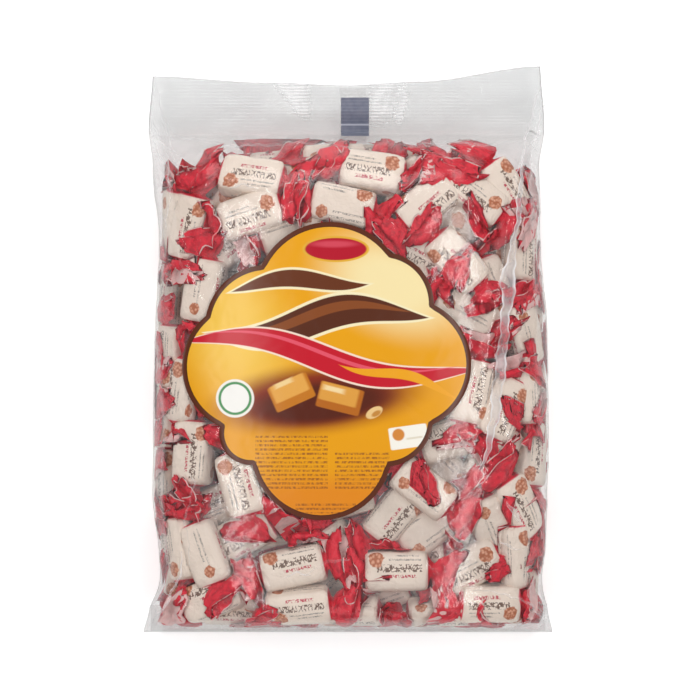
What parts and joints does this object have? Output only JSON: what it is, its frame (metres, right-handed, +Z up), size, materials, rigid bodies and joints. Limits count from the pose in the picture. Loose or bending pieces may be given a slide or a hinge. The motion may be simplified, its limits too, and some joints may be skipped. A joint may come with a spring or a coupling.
{
  "type": "bag of peanut toffees",
  "caption": "Clear sealed pillow bag full of twist-wrapped peanut toffees, with a lobed printed label and a flat crimped top seal, lying on its back.",
  "frame": {"origin": "on the surface the bag lies on, under the middle of its outline", "axes": "+Z up through the printed front, +Y towards the flat sealed top edge, +X to the right as the front is read"},
  "size_m": [0.2004, 0.278, 0.0641],
  "materials": {
    "clear_film": "clear film over twist-wrapped sweets",
    "label_print": "gloss",
    "mark_print": "gloss"
  },
  "bodies": {
    "root": {"bag": "clear_film", "label": "label_print", "register_mark": "mark_print"}
  },
  "joints": []
}
